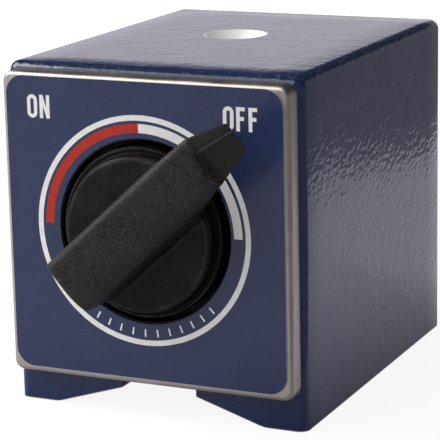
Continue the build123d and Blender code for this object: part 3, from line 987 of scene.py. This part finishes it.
def makeColumnThread():
    # the ridge of the column's thread, standing out from the wall of its hole
    p = columnThread
    length = columnHole["dims"]["length_mm"] * mm - p["ridge"]
    bottom = columnHole["pos_m"][2] - length / 2
    piece = startPiece("column_thread", bpy.data.meshes.new("column_thread"))
    runNodes(piece, threadTree(brightSteel), {
        "Turns": length / p["pitch"],
        "Radius": p["radius"],
        "Height": length,
        "Ridge": p["ridge"],
        "Steps": p["stepsPerTurn"],
        "Place": (holeX, holeY, bottom),
    })
    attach(piece, "base")


def makeDialPrint():
    # the ring, the two arcs inside it, and the words ON and OFF
    p = dialPrint
    bm = bmesh.new()
    printedBand(bm, p["ringInner"], p["ringOuter"], 0, 360, p["ringSteps"], closed=True)
    addPiece("dial_ring", finishMesh(bm, "dial_ring"), whiteInk, "base")
    bm = bmesh.new()
    printedBand(bm, p["bandInner"], p["bandOuter"], p["bandSplit"], 180 - p["bandGap"], p["bandSteps"])
    addPiece("red_arc", finishMesh(bm, "red_arc"), redInk, "base")
    bm = bmesh.new()
    printedBand(bm, p["bandInner"], p["bandOuter"], p["bandGap"], p["bandSplit"], p["bandSteps"])
    addPiece("white_arc", finishMesh(bm, "white_arc"), whiteInk, "base")
    step = p["letterWidth"] + p["letterGap"]
    bm = bmesh.new()
    x, z = p["onPlace"]
    letterO(bm, x, z)
    printedOutline(bm, letterN(x + step, z))
    x, z = p["offPlace"]
    letterO(bm, x, z)
    printedOutline(bm, letterF(x + step, z))
    printedOutline(bm, letterF(x + p["lastStep"] * step, z))
    addPiece("switch_lettering", finishMesh(bm, "switch_lettering"), whiteInk, "base")


makeDialPrint()
makeDialTicks()
print("dial printed")

makeCoverScrews()
makeColumnThread()
print("screws and thread cut")


def handlePlace(point):
    # along the handle and across it, from the knob's axis
    turn = math.radians(knobPlastic["handleAngle"])
    x, z = point[0], point[2] - axisZ
    return x * math.cos(turn) + z * math.sin(turn), z * math.cos(turn) - x * math.sin(turn)


def between(value, points):
    # straight lines through the points, level beyond them
    if value <= points[0][0]:
        return points[0][1]
    for (a, low), (b, high) in zip(points, points[1:]):
        if value <= b:
            return low + (high - low) * (value - a) / (b - a)
    return points[-1][1]


def remeshPiece(piece, voxel):
    # an even skin of small faces
    remesh = piece.modifiers.new("remesh", "REMESH")
    remesh.mode = "VOXEL"
    remesh.voxel_size = voxel
    remesh.use_smooth_shade = True
    return bakeMesh(piece)


def shapeHandle(mesh):
    # crowns the handle's face, and lowers one half of its nose to leave a ridge
    p = knobSkin
    for vertex in mesh.vertices:
        along, across = handlePlace(vertex.co)
        depth = vertex.co.y - knobFront
        near = max(0.0, 1 - depth / p["crownDepth"])
        if near > 0:
            u = min(1.0, abs(across) / p["halfWidth"])
            drop = p["litDrop"] * u ** 2 if across > 0 else p["shadedDrop"] * u ** 2.5
            vertex.co.y += near * drop
        ridge = between(along, p["ridge"])
        onNose = between(along, p["noseFade"])
        if across > ridge:
            vertex.co.y += p["ribTilt"] * (across - ridge) * onNose * near
        if along > p["facet"][0][0] and across < ridge:
            tilt = p["facetTilt"] * (ridge - across) * onNose
            facet = between(along, p["facet"]) + tilt
            channel = between(along, p["channel"]) + p["channelMargin"]
            if depth < facet or (abs(across) < ridge and depth < channel):
                vertex.co.y = knobFront + facet


def makeKnobSkin():
    # the moulded knob with its edges eased
    p = knobSkin
    bm = bmesh.new()
    bm.from_mesh(nodes["knob"].data)
    bmesh.ops.remove_doubles(bm, verts=bm.verts, dist=p["mergeWithin"])
    mesh = bpy.data.meshes.new("knob_skin")
    bm.to_mesh(mesh)
    bm.free()
    piece = startPiece("knob_skin", mesh)
    shapeHandle(remeshPiece(piece, p["voxel"]))
    mesh = remeshPiece(piece, p["voxel"])
    root = piece.vertex_groups.new(name="root")
    middle = (p["rootFrom"] + p["rootTo"]) / 2
    for vertex in mesh.vertices:
        weight = 1 - abs(handlePlace(vertex.co)[0] - middle) / (middle - p["rootFrom"])
        if weight > 0:
            root.add([vertex.index], min(1.0, p["rootWeight"] * weight), "REPLACE")
    for name, rounds, group in (("ease_edges", p["smoothing"], ""), ("ease_root", p["rootSmoothing"], "root")):
        smooth = piece.modifiers.new(name, "SMOOTH")
        smooth.factor = p["easeShare"]
        smooth.iterations = rounds
        smooth.vertex_group = group
    mesh = bakeMesh(piece)
    piece.vertex_groups.clear()
    smoothFaces(mesh)
    mesh.materials.clear()
    mesh.materials.append(plastic)
    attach(piece, "switch")
    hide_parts("knob")
    print("knob moulded:", len(mesh.polygons), "faces")


makeKnobSkin()

# Camera and lights

view = {
    "azimuth": 24.8701,
    "elevation": 13.5575,
    "roll": -1.2269,
    "distance": 314.8095 * mm,
    "target": (11.2502 * mm, bodyLow[1], 32.3477 * mm),
    "lens": 169.88,
    "sensor": 36,
    "nearest": 10 * mm,
}


def placeCamera():
    # on a line from the target, looking back at it, and rolled a little
    a, e, r = (math.radians(view[k]) for k in ("azimuth", "elevation", "roll"))
    back = Vector((math.sin(a) * math.cos(e), -math.cos(a) * math.cos(e), math.sin(e)))
    right = (-back).cross(Vector((0, 0, 1))).normalized()
    up = right.cross(-back)
    rolledRight = right * math.cos(r) + up * math.sin(r)
    rolledUp = up * math.cos(r) - right * math.sin(r)
    data = bpy.data.cameras.new("camera")
    data.lens = view["lens"]
    data.sensor_width = view["sensor"]
    data.clip_start = view["nearest"]
    camera = bpy.data.objects.new("camera", data)
    bpy.context.scene.collection.objects.link(camera)
    turn = Matrix((rolledRight, rolledUp, back)).transposed().to_4x4()
    camera.matrix_world = Matrix.Translation(Vector(view["target"]) + back * view["distance"]) @ turn
    bpy.context.scene.camera = camera


lights = {
    "key": {"place": (-0.62, -0.18, 0.54), "size": 0.50, "power": 6.2, "colour": (1.0, 0.985, 0.96)},
    "front": {"place": (-0.30, -0.70, 0.66), "size": 0.70, "power": 3.8, "colour": (0.98, 0.99, 1.0)},
}

studio = {
    "daylight": 0.38,
    # the mirrored room: white at the back and the left below the skyline, dim elsewhere
    "horizon": 0.85,
    "farRoom": 0.30,
    "overhead": 0.04,
    "leftEdge": (-0.05, 0.15),
    "backEdge": (-0.55, 0.15),
    "skyline": (0.19, 0.28),
    # edges of the paper in a mirror image: their place on the x axis and their slant
    "paperRight": (183.8 * mm, 0.6125),
    "paperFront": (62 * mm, -0.45),
    "paperFade": 6 * mm,
    "pastPaper": 0.28,
    "paperGrey": 0.62,
    "paperWhite": 1.12,
    "paperSeen": 0.80,
    "fadeFrom": 0.12,
    "fadeTo": 0.40,
    "paperLit": 0.65,
    "mirroredTint": (0.945, 0.91, 1.02, 1),
    "pastTint": (0.97, 0.87, 0.93, 1),
    "backTint": (1.0, 0.965, 1.02, 1),
    "contactReach": 34 * mm,
    "contactDark": 0.22,
    "rightFootShade": 0.36,
    "rearContact": 0.62,
    "frontFade": 3 * mm,
    "rightFoot": (-5 * mm, 20 * mm),
    "footShadeEnd": (25 * mm, 40 * mm),
    "floorReach": 1.5,
    "floorLevel": -0.02 * mm,
    "floorRoughness": 0.8,
    "floorSpecular": 0.2,
}


def placeLights():
    # square lamps that face the middle of the object
    middle = Vector((0, 0, 30 * mm))
    for name, light in lights.items():
        data = bpy.data.lights.new(name, "AREA")
        data.size = light["size"]
        data.energy = light["power"]
        data.color = light["colour"]
        lamp = bpy.data.objects.new(name, data)
        bpy.context.scene.collection.objects.link(lamp)
        lamp.location = light["place"]
        lamp.rotation_euler = (Vector(light["place"]) - middle).to_track_quat("Z", "Y").to_euler()


def makeWorld():
    # white to the camera and through glass, a room with dim sides in reflections, and soft daylight
    s = studio
    world = bpy.data.worlds.new("studio")
    bpy.context.scene.world = world
    world.use_nodes = True
    tree = world.node_tree
    background = tree.nodes["Background"]
    path = tree.nodes.new("ShaderNodeLightPath")
    direction = tree.nodes.new("ShaderNodeTexCoord")
    x, y, z = splitVector(tree, direction.outputs["Generated"])
    toLeft = addRange(tree, x, *s["leftEdge"], 1, 0)
    toBack = addRange(tree, y, *s["backEdge"], 0, 1)
    low = addMixValue(tree, addMath(tree, "MULTIPLY", toLeft, toBack), s["farRoom"], s["horizon"])
    mirrored = addMixValue(tree, addRange(tree, z, *s["skyline"], 0, 1), low, s["overhead"])
    seen = addMath(tree, "MAXIMUM", path.outputs["Is Camera Ray"], path.outputs["Is Transmission Ray"])
    light = addMixValue(tree, path.outputs["Is Glossy Ray"], s["daylight"], mirrored)
    tree.links.new(addMixValue(tree, seen, light, 1.0), background.inputs["Strength"])
    tint = addMix(tree, path.outputs["Is Glossy Ray"], (1, 1, 1, 1), s["backTint"])
    tree.links.new(tint, background.inputs["Color"])


def makeFloor():
    # pale paper, white to the camera, with the object's shadow on it; in reflections it ends to the
    # right of the object and in front of it
    s = studio
    mesh = bpy.data.meshes.new("floor")
    reach, level = s["floorReach"], s["floorLevel"]
    corners = [(-reach, -reach, level), (reach, -reach, level), (reach, reach, level), (-reach, reach, level)]
    mesh.from_pydata(corners, [], [(0, 1, 2, 3)])
    floor = startPiece("floor", mesh)
    material, tree, shader = newMaterial("pale_floor")
    shader.inputs["Base Color"].default_value = (s["paperGrey"],) * 3 + (1,)
    shader.inputs["Roughness"].default_value = s["floorRoughness"]
    shader.inputs["Specular IOR Level"].default_value = s["floorSpecular"]
    path = tree.nodes.new("ShaderNodeLightPath")
    camera, glossy = path.outputs["Is Camera Ray"], path.outputs["Is Glossy Ray"]
    x, y, _ = splitVector(tree, objectCoordinates(tree))
    paper = 1.0
    for edge, slant in (s["paperRight"], s["paperFront"]):
        across = addMath(tree, "ADD", x, addMath(tree, "MULTIPLY", y, slant))
        paper = addMath(tree, "MULTIPLY", paper, addRange(tree, across, edge, edge + s["paperFade"], 1, 0))
    # darker close to the object, where little light gets in
    besideX = addMath(tree, "SUBTRACT", addMath(tree, "ABSOLUTE", x), bodyHigh[0])
    middleY, halfY = (bodyLow[1] + bodyHigh[1]) / 2, (bodyHigh[1] - bodyLow[1]) / 2
    besideY = addMath(tree, "SUBTRACT", addMath(tree, "ABSOLUTE", addMath(tree, "SUBTRACT", y, middleY)), halfY)
    beside = addMath(tree, "MAXIMUM", besideX, besideY)
    depth = addRange(tree, beside, 0, s["contactReach"], 1 - s["contactDark"], 0)
    depth = addMath(tree, "MULTIPLY", depth, addRange(tree, y, bodyLow[1], bodyHigh[1], 1, s["rearContact"]))
    near = addMath(tree, "SUBTRACT", 1.0, depth)
    inFront = addSteps(tree, y, bodyLow[1], s["frontFade"], True)
    shade = addMixValue(tree, inFront, 1.0, addRange(tree, x, *s["rightFoot"], 1, s["rightFootShade"]))
    shade = addMixValue(tree, addRange(tree, beside, *s["footShadeEnd"], 1, 0), 1.0, shade)
    near = addMath(tree, "MULTIPLY", near, shade)
    white = tree.nodes.new("ShaderNodeEmission")
    tint = addMix(tree, paper, s["pastTint"], s["mirroredTint"])
    tree.links.new(addMix(tree, glossy, (1, 1, 1, 1), tint), white.inputs["Color"])
    mirrored = addMath(tree, "MULTIPLY", near, addMixValue(tree, paper, s["pastPaper"], s["paperWhite"]))
    tree.links.new(addMixValue(tree, camera, mirrored, s["paperWhite"]), white.inputs["Strength"])
    share = addMath(tree, "MULTIPLY", glossy, addMixValue(tree, paper, 1.0, s["paperLit"]))
    far = addRange(tree, addRadius(tree, x, y), s["fadeFrom"], s["fadeTo"], s["paperSeen"], 1.0)
    share = addMath(tree, "MAXIMUM", share, addMath(tree, "MULTIPLY", camera, far))
    blend = tree.nodes.new("ShaderNodeMixShader")
    tree.links.new(share, blend.inputs["Fac"])
    tree.links.new(shader.outputs["BSDF"], blend.inputs[1])
    tree.links.new(white.outputs["Emission"], blend.inputs[2])
    # open to a camera that looks up from below
    geometry = tree.nodes.new("ShaderNodeNewGeometry")
    opening = tree.nodes.new("ShaderNodeBsdfTransparent")
    whole = tree.nodes.new("ShaderNodeMixShader")
    tree.links.new(addMath(tree, "MULTIPLY", geometry.outputs["Backfacing"], camera), whole.inputs["Fac"])
    tree.links.new(blend.outputs["Shader"], whole.inputs[1])
    tree.links.new(opening.outputs["BSDF"], whole.inputs[2])
    tree.links.new(whole.outputs["Shader"], tree.nodes["Material Output"].inputs["Surface"])
    mesh.materials.append(material)


placeCamera()
placeLights()
makeWorld()
makeFloor()
bpy.context.scene.view_settings.view_transform = "Standard"
print("stage set")
